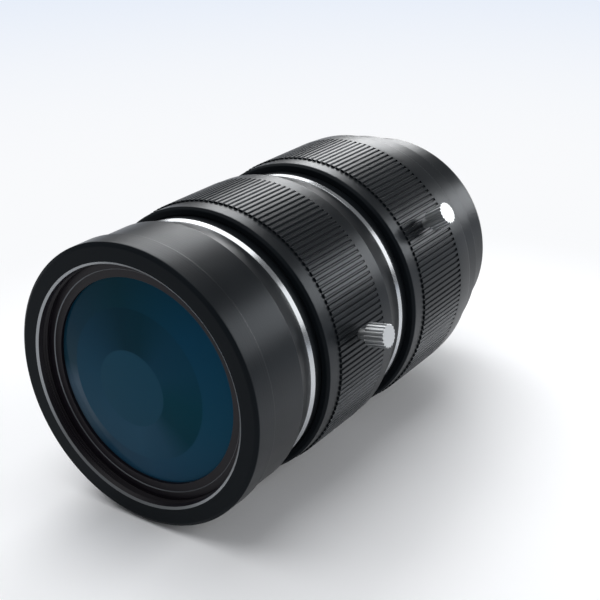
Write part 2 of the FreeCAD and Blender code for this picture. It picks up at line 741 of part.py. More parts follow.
cam = plain_ring("iris_cam_ring", "cam_front", "cam_opening", "iris_cell_radius - fit_gap",
                 "cam_thickness", "drive_pin_angle")
side_hole(cam, "drive_pin_radius + joint_gap", "drive_station - cam_front",
          "iris_cell_radius - drive_pin_grip", "drive_pin_grip + key_radius")
sketch = new_sketch(cam)
to_middle = number("slot_middle_turn") - number("web_turn")
away = FreeCAD.Rotation(FreeCAD.Vector(0, -1, 0), to_middle + 90)
centre = away.multVec(FreeCAD.Vector(number("slot_offset"), 0, 0))
facing = FreeCAD.Rotation(FreeCAD.Vector(0, -1, 0), to_middle - number("slot_lean"))
sketch.AttachmentOffset = FreeCAD.Placement(centre, facing)
outline(sketch, [
    ("slot_arc_radius - slot_half_width", "0 - axial_gap"),
    ("slot_arc_radius + slot_half_width", "0 - axial_gap"),
    ("slot_arc_radius + slot_half_width", "cam_thickness + axial_gap"),
    ("slot_arc_radius - slot_half_width", "cam_thickness + axial_gap"),
])
slot = cam.newObject("PartDesign::Groove", "cam_slot")
slot.Profile = sketch
slot.ReferenceAxis = (sketch, ["V_Axis"])
slot.Midplane = True
slot.setExpression("Angle", "Size.slot_arc_angle * 1 deg")
doc.recompute()
repeat(cam, slot, "leaf_count")
plain_ring("iris_keeper_ring", "cell_keeper_front", "iris_cell_radius - cell_keeper_wall",
           "iris_cell_radius - joint_gap", "cell_keeper_length")

# Rear glass group in its own cell.
lathe("rear_lens_cell", "rear_cell_front", [
    ("rear_cell_bore - rear_cell_lip", "0"),
    ("iris_cell_radius - joint_gap", "0"),
    ("iris_cell_radius - joint_gap", "main_back - rear_cell_front"),
    ("rear_cell_bore", "main_back - rear_cell_front"),
    ("rear_cell_bore", "rear_cell_flange"),
    ("rear_cell_bore - rear_cell_lip", "rear_cell_flange"),
])
rear_clear = "rear_cell_bore - rear_cell_lip"
glass("fourth_lens", "fourth_front", "rear_cell_bore - joint_gap", (rear_clear, rear_clear),
      "fourth_glass_rim", "fourth_glass_bulge", "- fourth_glass_hollow")
plain_ring("rear_spacer_ring", "rear_spacer_front",
           "rear_cell_bore - joint_gap - rear_spacer_wall",
           "rear_cell_bore - joint_gap", "rear_spacer_length")
lathe("fifth_lens", "fifth_front", [
    ("0", "0"),
    ("rear_cell_bore - joint_gap", "0"),
    ("rear_cell_bore - joint_gap", "fifth_glass_rim"),
    ("rear_cell_bore - rear_cell_lip", "fifth_glass_rim"),
    ("0", "fifth_glass_rim + fifth_glass_bulge"),
], curved=(3,))
plain_ring("rear_group_nut", "rear_nut_front", "rear_cell_bore - joint_gap - rear_nut_wall",
           "rear_cell_bore - joint_gap", "rear_nut_length")

# Rear barrel and the mount ring with its seat and thread.
lathe("rear_barrel", "rear_front", [
    ("main_radius + joint_gap", "0"),
    ("rear_radius", "0"),
    ("rear_radius", "rear_step - rear_step_bevel - rear_front"),
    ("rear_radius - rear_step_bevel", "rear_step - rear_front"),
    ("rear_neck_radius", "rear_step - rear_front"),
    ("rear_neck_radius", "rear_bevel_start - rear_front"),
    ("rear_neck_radius - rear_bevel_radius", "rear_back - rear_front"),
    ("rear_bore", "rear_back - rear_front"),
    ("rear_bore", "main_back - rear_front"),
    ("main_radius + joint_gap", "main_back - rear_front"),
])
lathe("camera_mount_ring", "flange_station", [
    ("mount_bore", "rear_back - flange_station - mount_screw_length"),
    ("rear_bore - joint_gap", "rear_back - flange_station - mount_screw_length"),
    ("rear_bore - joint_gap", "rear_back - flange_station"),
    ("mount_flange_radius", "rear_back - flange_station"),
    ("mount_flange_radius", "0"),
    ("mount_thread_radius", "0"),
    ("mount_thread_radius", "mount_thread_length - mount_thread_bevel"),
    ("mount_thread_radius - mount_thread_bevel", "mount_thread_length"),
    ("mount_bore", "mount_thread_length"),
])

doc.recompute()
os.makedirs("parts", exist_ok=True)
for body in doc.Objects:
    if "Invalid" in body.State or "Error" in body.State:
        raise RuntimeError(f"{body.Label} did not build")
    if body.TypeId != "PartDesign::Body":
        continue
    shape = body.Shape
    if shape.isNull() or not shape.isValid() or len(shape.Solids) != 1:
        raise RuntimeError(f"{body.Label} is not one valid solid")
    shape.exportStep(f"parts/{body.Label}.step")
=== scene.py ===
"""Looks of a machine vision lens: turned, knurled and coated surfaces in a soft studio."""

import logging
import math
from dataclasses import dataclass, field
from enum import Enum

import bmesh
import bpy
from mathutils import Matrix, Vector

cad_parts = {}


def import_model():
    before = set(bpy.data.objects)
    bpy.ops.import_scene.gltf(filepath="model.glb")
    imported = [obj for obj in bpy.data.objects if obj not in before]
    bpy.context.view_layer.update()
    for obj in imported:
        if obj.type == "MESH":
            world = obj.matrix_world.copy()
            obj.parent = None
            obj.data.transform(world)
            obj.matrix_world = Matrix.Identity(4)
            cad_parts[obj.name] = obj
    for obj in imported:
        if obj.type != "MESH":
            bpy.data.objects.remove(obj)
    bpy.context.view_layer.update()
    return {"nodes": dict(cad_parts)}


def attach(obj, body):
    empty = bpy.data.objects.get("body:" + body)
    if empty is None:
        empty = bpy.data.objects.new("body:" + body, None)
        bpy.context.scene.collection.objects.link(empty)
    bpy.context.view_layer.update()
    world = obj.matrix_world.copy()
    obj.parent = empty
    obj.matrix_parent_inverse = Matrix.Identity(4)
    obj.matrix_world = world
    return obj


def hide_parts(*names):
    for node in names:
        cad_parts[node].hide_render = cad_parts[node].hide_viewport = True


LOG = logging.getLogger("vision_lens")
MM = 0.001
FLANGE_STATION = 84.0
Profile = list[tuple[float, float]]


class Body(Enum):
    """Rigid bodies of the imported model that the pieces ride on."""

    HOUSING = "housing"
    FRONT_GROUP = "front_group"
    FOCUS = "focus_control"
    FOCUS_LOCK = "focus_lock"
    IRIS = "iris_control"
    IRIS_LOCK = "iris_lock"


class Slot(Enum):
    """Material slots named in the record."""

    BLACK = "black_anodised"
    BRIGHT = "bright_aluminium"
    STAINLESS = "stainless_steel"
    STEEL = "plain_steel"
    LEAF = "blackened_steel"
    FRONT_GLASS = "coated_glass"
    INNER_GLASS = "inner_glass"


def linear(hex_colour: str) -> tuple[float, float, float, float]:
    """Turn an sRGB hex colour into linear RGBA.

    Args:
        hex_colour: Colour such as "#1c1d20".

    Returns:
        Linear red, green and blue, and an alpha of one.
    """
    channels = [int(hex_colour[i:i + 2], 16) / 255 for i in (1, 3, 5)]
    values = [c / 12.92 if c <= 0.04045 else ((c + 0.055) / 1.055) ** 2.4 for c in channels]
    return (*values, 1.0)


def add_node(
    tree: bpy.types.NodeTree,
    kind: str,
    settings: dict | None = None,
    links: dict | None = None,
) -> bpy.types.Node:
    """Add one node with its settings, socket values and incoming links.

    Args:
        tree: Tree that gets the node.
        kind: Node type name.
        settings: Attributes by name, or socket values by socket name or number.
        links: Output sockets by the name or number of the input they feed.

    Returns:
        The new node.
    """
    node = tree.nodes.new(kind)
    for name, value in (settings or {}).items():
        if isinstance(name, str) and hasattr(node, name):
            setattr(node, name, value)
        else:
            node.inputs[name].default_value = value
    for name, source in (links or {}).items():
        tree.links.new(source, node.inputs[name])
    return node


def new_material(name: str) -> tuple[bpy.types.Material, bpy.types.NodeTree]:
    """Make an empty node material.

    Args:
        name: Name of the real material and its finish.

    Returns:
        The material and its node tree.
    """
    material = bpy.data.materials.new(name)
    material.use_nodes = True
    material.node_tree.nodes.clear()
    return material, material.node_tree


def finish_tree(tree: bpy.types.NodeTree, shader: bpy.types.Node) -> None:
    """Lead a shader node to the material's surface output."""
    add_node(tree, "ShaderNodeOutputMaterial", links={"Surface": shader.outputs[0]})


@dataclass(frozen=True)
class TurnedMetal:
    """Metal cut on a lathe: faint rings along the axis, with a soft cloudiness."""

    name: str
    colour: str
    worn: str
    metallic: float
    roughness: float
    specular: float = 0.5
    sheen_tint: str = "#ffffff"
    ring_pitch_mm: float = 0.25
    ring_depth: float = 0.04
    cloud_mm: float = 6.0
    roughness_swing: float = 0.05

    def build(self) -> bpy.types.Material:
        """Build the material.

        Returns:
            The finished material.
        """
        material, tree = new_material(self.name)
        place = add_node(tree, "ShaderNodeTexCoord")
        cloud = add_node(
            tree, "ShaderNodeTexNoise",
            {"Scale": 1 / (self.cloud_mm * MM), "Detail": 4.0, "Roughness": 0.6},
            {"Vector": place.outputs["Object"]},
        )
        parts = add_node(tree, "ShaderNodeSeparateXYZ", links={0: place.outputs["Object"]})
        across = add_node(
            tree, "ShaderNodeMath", {"operation": "MULTIPLY"},
            {0: parts.outputs["X"], 1: parts.outputs["X"]},
        )
        up = add_node(
            tree, "ShaderNodeMath", {"operation": "MULTIPLY_ADD"},
            {0: parts.outputs["Z"], 1: parts.outputs["Z"], 2: across.outputs[0]},
        )
        radius = add_node(tree, "ShaderNodeMath", {"operation": "SQRT"}, {0: up.outputs[0]})
        turned = add_node(
            tree, "ShaderNodeCombineXYZ", links={0: radius.outputs[0], 1: parts.outputs["Y"]},
        )
        rings = add_node(
            tree, "ShaderNodeTexNoise",
            {"Scale": 1 / (self.ring_pitch_mm * MM), "Detail": 2.0},
            {"Vector": turned.outputs[0]},
        )
        colour = add_node(
            tree, "ShaderNodeMix", {"data_type": "RGBA", 6: linear(self.colour),
                                    7: linear(self.worn)},
            {0: cloud.outputs["Fac"]},
        )
        rough = add_node(
            tree, "ShaderNodeMapRange",
            {"To Min": self.roughness - self.roughness_swing,
             "To Max": self.roughness + self.roughness_swing},
            {"Value": cloud.outputs["Fac"]},
        )
        bump = add_node(
            tree, "ShaderNodeBump",
            {"Strength": self.ring_depth, "Distance": self.ring_pitch_mm * MM},
            {"Height": rings.outputs["Fac"]},
        )
        shader = add_node(
            tree, "ShaderNodeBsdfPrincipled",
            {"Metallic": self.metallic, "Specular IOR Level": self.specular,
             "Specular Tint": linear(self.sheen_tint)},
            {"Base Color": colour.outputs[2], "Roughness": rough.outputs[0],
             "Normal": bump.outputs[0]},
        )
        finish_tree(tree, shader)
        return material


@dataclass(frozen=True)
class CoatedGlass:
    """Polished optical glass with a tinted anti-reflection coating."""

    name: str
    tint: str
    body: str
    transmission: float
    roughness: float
    coat: float
    cloud_scale: float = 60.0

    def build(self) -> bpy.types.Material:
        """Build the material.

        Returns:
            The finished material.
        """
        material, tree = new_material(self.name)
        place = add_node(tree, "ShaderNodeTexCoord")
        cloud = add_node(
            tree, "ShaderNodeTexNoise", {"Scale": self.cloud_scale, "Detail": 2.0},
            {"Vector": place.outputs["Object"]},
        )
        colour = add_node(
            tree, "ShaderNodeMix", {"data_type": "RGBA", 6: linear(self.body),
                                    7: linear(self.tint)},
            {0: cloud.outputs["Fac"]},
        )
        shader = add_node(
            tree, "ShaderNodeBsdfPrincipled",
            {"IOR": 1.52, "Transmission Weight": self.transmission,
             "Roughness": self.roughness, "Specular Tint": linear(self.tint),
             "Coat Weight": self.coat, "Coat Roughness": 0.03,
             "Coat Tint": linear(self.tint)},
            {"Base Color": colour.outputs[2]},
        )
        finish_tree(tree, shader)
        return material


@dataclass(frozen=True)
class PaintedReflectionGlass:
    """Coated front element with painted reflections: the rims and wedges of light of the
    elements behind it.
    """

    name: str
    outer_reflection_stops: tuple[tuple[float, str], ...]
    middle_reflection_stops: tuple[tuple[float, str], ...]
    centre_colour: str
    middle_radius_mm: float = 12.9
    middle_shift_mm: tuple[float, float] = (-1.5, -0.9)
    centre_radius_mm: float = 6.5
    centre_shift_mm: tuple[float, float] = (-2.6, -1.8)
    transmission: float = 0.03
    roughness: float = 0.08
    specular: float = 0.06
    sheen_tint: str = "#4a90a8"
    edge_mm: float = 0.15

    def disc(
        self, tree: bpy.types.NodeTree, place: bpy.types.NodeSocket,
        shift_mm: tuple[float, float], radius_mm: float,
    ) -> tuple[bpy.types.NodeSocket, bpy.types.NodeSocket]:
        """Add the nodes of a painted disc, which stands for an element behind the glass.

        Args:
            tree: Tree of the material.
            place: Object coordinates.
            shift_mm: Centre of the disc, across X and Z.
            radius_mm: Radius of the disc.

        Returns:
            A socket that is 1 inside the disc, and its angle as 0 to 1.
        """
        moved = add_node(tree, "ShaderNodeMapping",
                         {"Location": (-shift_mm[0] * MM, 0.0, -shift_mm[1] * MM)},
                         {"Vector": place})
        parts = add_node(tree, "ShaderNodeSeparateXYZ", links={0: moved.outputs[0]})
        flat = add_node(tree, "ShaderNodeCombineXYZ",
                        links={"X": parts.outputs["X"], "Y": parts.outputs["Z"]})
        reach = add_node(tree, "ShaderNodeVectorMath", {"operation": "LENGTH"},
                         {0: flat.outputs[0]})
        inside = add_node(
            tree, "ShaderNodeMapRange",
            {"interpolation_type": "SMOOTHSTEP", "From Min": (radius_mm + self.edge_mm) * MM,
             "From Max": (radius_mm - self.edge_mm) * MM},
            {"Value": reach.outputs["Value"]},
        )
        angle = add_node(tree, "ShaderNodeMath", {"operation": "ARCTAN2"},
                         {0: parts.outputs["Z"], 1: parts.outputs["X"]})
        share = add_node(tree, "ShaderNodeMapRange",
                         {"From Min": -math.pi, "From Max": math.pi},
                         {"Value": angle.outputs[0]})
        return inside.outputs[0], share.outputs[0]

    def build(self) -> bpy.types.Material:
        """Build the material.

        Returns:
            The finished material.
        """
        material, tree = new_material(self.name)
        place = add_node(tree, "ShaderNodeTexCoord").outputs["Object"]
        # The discs and the bands by angle are painted reflections of the further elements and
        # the lamps.
        middle, around = self.disc(tree, place, self.middle_shift_mm, self.middle_radius_mm)
        centre, _ = self.disc(tree, place, self.centre_shift_mm, self.centre_radius_mm)
        bands = []
        for stops in (self.outer_reflection_stops, self.middle_reflection_stops):
            band = add_node(tree, "ShaderNodeValToRGB", links={"Fac": around})
            elements = band.color_ramp.elements
            for degrees, colour in stops[1:-1]:
                elements.new((degrees + 180) / 360).color = linear(colour)
            elements[0].color = linear(stops[0][1])
            elements[-1].color = linear(stops[-1][1])
            bands.append(band.outputs["Color"])
        ring = add_node(tree, "ShaderNodeMix", {"data_type": "RGBA"},
                        {0: middle, 6: bands[0], 7: bands[1]})
        colour = add_node(tree, "ShaderNodeMix",
                          {"data_type": "RGBA", 7: linear(self.centre_colour)},
                          {0: centre, 6: ring.outputs[2]})
        shader = add_node(
            tree, "ShaderNodeBsdfPrincipled",
            {"IOR": 1.52, "Transmission Weight": self.transmission,
             "Roughness": self.roughness, "Specular IOR Level": self.specular,
             "Specular Tint": linear(self.sheen_tint)},
            {"Base Color": colour.outputs[2]},
        )
        finish_tree(tree, shader)
        return material


@dataclass
class Finishes:
    """Every finish of the lens, each built once."""

    table: dict[str, bpy.types.Material] = field(default_factory=dict)

    # Satin black anodised aluminium: deep, slightly blue black, a wide soft sheen.
    BLACK = TurnedMetal("anodised aluminium, satin black", "#0a0d10", "#0f1215",
                        0.0, 0.33, specular=0.28, sheen_tint="#d6e2ee")
    # The same, blasted matt inside the mouth, where it has a faint purple cast.
    MOUTH = TurnedMetal("anodised aluminium, matt black bore", "#120f15", "#161219",
                        0.0, 0.4, specular=0.2)
    # Forward-looking faces: a sheenless copy of the black, painted shade that keeps them deep
    # black.
    SHADED_FACE = TurnedMetal("anodised aluminium, black faces, painted shade", "#101418", "#13181c",
                       0.0, 0.5, specular=0.06)
    # Bevel of the mouth, cut through the anodising: a real bare metal line, its grey partly
    # painted shade.
    BARE_SHADED_EDGE = TurnedMetal("aluminium, bare cut edge, painted shade", "#85888b", "#95989b",
                       1.0, 0.35, ring_depth=0.02)
    # Step edge of the retaining ring as a thin pale metal line: a painted highlight.
    HIGHLIGHT_EDGE = TurnedMetal("anodised aluminium, painted highlight edge", "#5c6064", "#66696d",
                       1.0, 0.4, ring_depth=0.02)
    # Bare aluminium cut bright with a diamond tool: white and clean.
    BRIGHT = TurnedMetal("aluminium, diamond-cut bright", "#b8bbbe", "#c2c5c8",
                         1.0, 0.22, ring_depth=0.02, roughness_swing=0.03)
    # Turned stainless steel: pale grey, faintly cool.
    STAINLESS = TurnedMetal("stainless steel, turned", "#bcbfc1", "#c6c8ca",
                            1.0, 0.42, ring_depth=0.0)
    # End of a screw head: the same steel painted darker than its flutes, as painted shade.
    SHADED_SCREW_END = TurnedMetal("stainless steel, end with painted shade", "#54575a", "#5c5f62",
                            1.0, 0.36, ring_depth=0.0)
    # Ground steel pins inside the lens.
    STEEL = TurnedMetal("steel, ground", "#a9a9a8", "#b8b8b7", 1.0, 0.3)
    # Spring steel leaves with a matt black oxide.
    LEAF = TurnedMetal("spring steel, blackened", "#0b0b0c", "#101011",
                       0.0, 0.5, specular=0.4, ring_depth=0.01)
    # Front element: a deep teal coating, with painted reflections: rings of colour by angle
    # and two offset discs, palest in a crescent at the lower left, stand for the further
    # elements and lamps.
    FRONT_GLASS = PaintedReflectionGlass(
        "optical glass, teal coated, painted reflections",
        ((-180, "#1e3a48"), (-165, "#45596a"), (-140, "#3c505f"), (-118, "#1e3c50"),
         (-80, "#20435a"), (-12, "#103e54"), (44, "#083850"), (102, "#002c38"),
         (150, "#0a3042"), (180, "#1e3a48")),
        ((-180, "#103c52"), (-90, "#21465c"), (-62, "#1e4156"), (-36, "#003240"),
         (-6, "#003442"), (26, "#0a364a"), (52, "#0a3448"), (82, "#002a38"),
         (106, "#002836"), (140, "#083246"), (180, "#103c52")),
        "#174054",
    )
    # Elements behind it: clear, with a faint cool tint.
    INNER_GLASS = CoatedGlass("optical glass, inner", "#9fc3d6", "#b8d0dc", 1.0, 0.02, 0.0)

    def of(self, finish: TurnedMetal | CoatedGlass | PaintedReflectionGlass) -> bpy.types.Material:
        """Give the material of a finish, built on first use.

        Args:
            finish: One of the finishes above.

        Returns:
            Its material.
        """
        if finish.name not in self.table:
            self.table[finish.name] = finish.build()
        return self.table[finish.name]


def softened(profile: Profile, size: float) -> Profile:
    """Round the corners of a closed profile, with points that keep the sides flat.

    Args:
        profile: Corners as (radius, station) in millimetres.
        size: Length cut from each edge at a corner, in millimetres.

    Returns:
        The profile with its corners rounded; corners on the axis stay.
    """
    result: Profile = []
    count = len(profile)
    for index, corner in enumerate(profile):
        here = Vector(corner)
        before = Vector(profile[index - 1]) - here
        after = Vector(profile[(index + 1) % count]) - here
        straight = before.normalized().dot(after.normalized())
        if corner[0] == 0 or straight < -0.995:
            result.append(corner)
            continue
        if straight < -0.9:
            hold = min(0.05, before.length * 0.22, after.length * 0.22)
            result += [tuple(here + before.normalized() * hold), corner,
                       tuple(here + after.normalized() * hold)]
            continue
        cut = min(size, before.length * 0.22, after.length * 0.22)
        start = here + before.normalized() * cut
        stop = here + after.normalized() * cut
        result.append(tuple(here + before.normalized() * cut * 2))
        for share in (0.0, 1 / 3, 2 / 3, 1.0):
            bend = (1 - share) ** 2 * start + 2 * share * (1 - share) * here + share**2 * stop
            result.append(tuple(bend))
        result.append(tuple(here + after.normalized() * cut * 2))
    return result


def paint_faces(
    mesh: bpy.types.Mesh, material: bpy.types.Material, lean: float = -0.6
) -> None:
    """Give a further material, here a painted shade, to the faces that look forward along the
    axis.

    Args:
        mesh: Mesh in the lens's frame.
        material: Material of those faces.
        lean: Largest Y part of a normal that counts as forward.
    """
    mesh.materials.append(material)
    last = len(mesh.materials) - 1
    for face in mesh.polygons:
        if face.normal.y < lean:
            face.material_index = last


def joined(*meshes: bpy.types.Mesh) -> bpy.types.Mesh:
    """Join meshes with the same materials into one.

    Args:
        meshes: Closed meshes.

    Returns:
        One mesh with the materials of the first.
    """
    work = bmesh.new()
    for mesh in meshes:
        work.from_mesh(mesh)
    result = bpy.data.meshes.new("joined")
    for material in meshes[0].materials:
        result.materials.append(material)
    for face in work.faces:
        face.material_index = 0
    work.to_mesh(result)
    work.free()
    return result


def place_piece(
    mesh: bpy.types.Mesh,
    name: str,
    material: bpy.types.Material,
    sharp_degrees: float = 40.0,
) -> bpy.types.Object:
    """Link a finished mesh as an object at the origin.

    Args:
        mesh: Mesh in metres, in the lens's frame.
        name: Name of the piece.
        material: Its first material.
        sharp_degrees: Edges above this angle stay sharp.

    Returns:
        The new object.
    """
    mesh.name = name
    if not mesh.materials:
        mesh.materials.append(material)
    mesh.shade_smooth()
    mesh.set_sharp_from_angle(angle=math.radians(sharp_degrees))
    piece = bpy.data.objects.new(name, mesh)
    bpy.context.scene.collection.objects.link(piece)
    return piece


def lathe_mesh(profile: Profile, segments: int = 192) -> bpy.types.Mesh:
    """Turn a closed profile round the optical axis.

    Args:
        profile: Corners as (radius, station behind the front face), millimetres.
        segments: Steps round the axis.

    Returns:
        A closed mesh in metres.
    """
    mesh = bpy.data.meshes.new("turned")
    work = bmesh.new()
    rings: list[list[bmesh.types.BMVert]] = []
    for radius, station in profile:
        y = (station - FLANGE_STATION) * MM
        if radius == 0:
            rings.append([work.verts.new((0, y, 0))] * segments)
            continue
        ring = []
        for step in range(segments):
            angle = math.tau * step / segments
            ring.append(work.verts.new((radius * MM * math.cos(angle), y,
                                        radius * MM * math.sin(angle))))
        rings.append(ring)
    for index, ring in enumerate(rings):
        other = rings[(index + 1) % len(rings)]
        if ring[0] is ring[1] and other[0] is other[1]:
            continue
        for step in range(segments):
            after = (step + 1) % segments
            corners = [ring[step], ring[after], other[after], other[step]]
            unique = list(dict.fromkeys(corners))
            work.faces.new(unique)
    bmesh.ops.recalc_face_normals(work, faces=work.faces)
    work.to_mesh(mesh)
    work.free()
    return mesh


def sector_mesh(profile: Profile, columns: list[tuple[float, float]]) -> bpy.types.Mesh:
    """Make one pitch of a turned piece whose outside is fluted along the axis.

    Args:
        profile: Corners as (radius, distance along Y), millimetres.
        columns: (angle in degrees, largest radius there in millimetres) over one pitch.

    Returns:
        An open sheet of the profile over one pitch.
    """
    mesh = bpy.data.meshes.new("sector")
    work = bmesh.new()
    grid = []
    for radius, along in profile:
        line = []
        for angle, limit in columns:
            reach = min(radius, limit) * MM
            turn = math.radians(angle)
            line.append(work.verts.new((reach * math.cos(turn), along * MM,
                                        reach * math.sin(turn))))
        grid.append(line)
    for index, line in enumerate(grid):
        other = grid[(index + 1) % len(grid)]
        for step in range(len(columns) - 1):
            work.faces.new([line[step], line[step + 1], other[step + 1], other[step]])
    bmesh.ops.remove_doubles(work, verts=work.verts, dist=1e-7)
    bmesh.ops.recalc_face_normals(work, faces=work.faces)
    work.to_mesh(mesh)
    work.free()
    return mesh


def prism_mesh(
    section: list[tuple[float, float]], start: float, stop: float, bevels: tuple[float, float]
) -> bpy.types.Mesh:
    """Make one ridge: a closed prism along Y with small bevels at its ends.

    Args:
        section: (across, radius) corners, millimetres.
        start: Station of its front end.
        stop: Station of its rear end.
        bevels: Size of the bevel at the front and at the rear end.

    Returns:
        The closed ridge, in metres.
    """
    mesh = bpy.data.meshes.new("ridge")
    work = bmesh.new()
    top = max(radius for _, radius in section)
    rows = [(start, bevels[0]), (start + bevels[0], 0.0), (stop - bevels[1], 0.0),
            (stop, bevels[1])]
    grid = []
    for station, drop in rows:
        y = (station - FLANGE_STATION) * MM
        grid.append([
            work.verts.new((min(radius, top - drop) * MM, y,
                            (across - math.copysign(drop, across)) * MM))
            for across, radius in section
        ])
    count = len(section)
    for line, other in zip(grid, grid[1:]):
        for step in range(count):
            after = (step + 1) % count
            work.faces.new([line[step], line[after], other[after], other[step]])
    work.faces.new(grid[0])
    work.faces.new(grid[-1])
    bmesh.ops.remove_doubles(work, verts=work.verts, dist=1e-7)
    bmesh.ops.recalc_face_normals(work, faces=work.faces)
    work.to_mesh(mesh)
    work.free()
    return mesh


class AroundTree:
    """Geometry Nodes tree that repeats a sector round the Y axis."""

    def __init__(self) -> None:
        """Build the tree with its named inputs."""
        tree = bpy.data.node_groups.new("sectors around the axis", "GeometryNodeTree")
        face = tree.interface
        face.new_socket("Geometry", in_out="INPUT", socket_type="NodeSocketGeometry")
        face.new_socket("Count", in_out="INPUT", socket_type="NodeSocketInt")
        face.new_socket("Finish", in_out="INPUT", socket_type="NodeSocketMaterial")
        face.new_socket("Geometry", in_out="OUTPUT", socket_type="NodeSocketGeometry")
        given = add_node(tree, "NodeGroupInput")
        points = add_node(tree, "GeometryNodeMeshLine", {"Offset": (0.0, 0.0, 0.0)},
                          {"Count": given.outputs["Count"]})
        index = add_node(tree, "GeometryNodeInputIndex")
        pitch = add_node(tree, "ShaderNodeMath", {"operation": "DIVIDE", 0: math.tau},
                         {1: given.outputs["Count"]})
        turn = add_node(tree, "ShaderNodeMath", {"operation": "MULTIPLY"},
                        {0: index.outputs[0], 1: pitch.outputs[0]})
        about = add_node(tree, "ShaderNodeCombineXYZ", links={"Y": turn.outputs[0]})
        copies = add_node(
            tree, "GeometryNodeInstanceOnPoints",
            links={"Points": points.outputs[0], "Instance": given.outputs["Geometry"],
                   "Rotation": about.outputs[0]},
        )
        real = add_node(tree, "GeometryNodeRealizeInstances", links={0: copies.outputs[0]})
        merged = add_node(tree, "GeometryNodeMergeByDistance", {"Distance": 2e-7},
                          {"Geometry": real.outputs[0]})
        dressed = add_node(
            tree, "GeometryNodeSetMaterial",
            links={"Geometry": merged.outputs[0], "Material": given.outputs["Finish"]},
        )
        add_node(tree, "NodeGroupOutput", links={0: dressed.outputs[0]})
        self.tree = tree
        self.sockets = {item.name: item.identifier for item in face.items_tree
                        if item.in_out == "INPUT"}

    def repeat(
        self, sector: bpy.types.Mesh, count: int, material: bpy.types.Material
    ) -> bpy.types.Mesh:
        """Repeat a sector and give the result as a plain closed mesh.

        Args:
            sector: One pitch of the ring.
            count: Number of pitches in a full turn.
            material: Finish of the result.

        Returns:
            The whole ring.
        """
        carrier = bpy.data.objects.new("sector", sector)
        bpy.context.scene.collection.objects.link(carrier)
        modifier = carrier.modifiers.new("around", "NODES")
        modifier.node_group = self.tree
        modifier[self.sockets["Count"]] = count
        modifier[self.sockets["Finish"]] = material
        bpy.context.view_layer.update()
        evaluated = carrier.evaluated_get(bpy.context.evaluated_depsgraph_get())
        mesh = bpy.data.meshes.new_from_object(evaluated)
        carrier.modifiers.remove(modifier)
        bpy.data.objects.remove(carrier)
        work = bmesh.new()
        work.from_mesh(mesh)
        bmesh.ops.remove_doubles(work, verts=work.verts, dist=2e-7)
        bmesh.ops.dissolve_degenerate(work, edges=work.edges, dist=1e-8)
        bmesh.ops.recalc_face_normals(work, faces=work.faces)
        work.to_mesh(mesh)
        work.free()
        return mesh


def register(piece: bpy.types.Object, body: Body, slot: Slot, *nodes: str) -> None:
    """Ride a piece on its body and let it stand for CAD nodes.

    Args:
        piece: Finished object.
        body: Body it moves with.
        slot: Material slot it takes its finish from; not used.
        nodes: CAD nodes that it replaces.
    """
    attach(piece, body.value)
    if nodes:
        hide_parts(*nodes)
    LOG.info("%s: %d faces on %s", piece.name, len(piece.data.polygons), body.value)


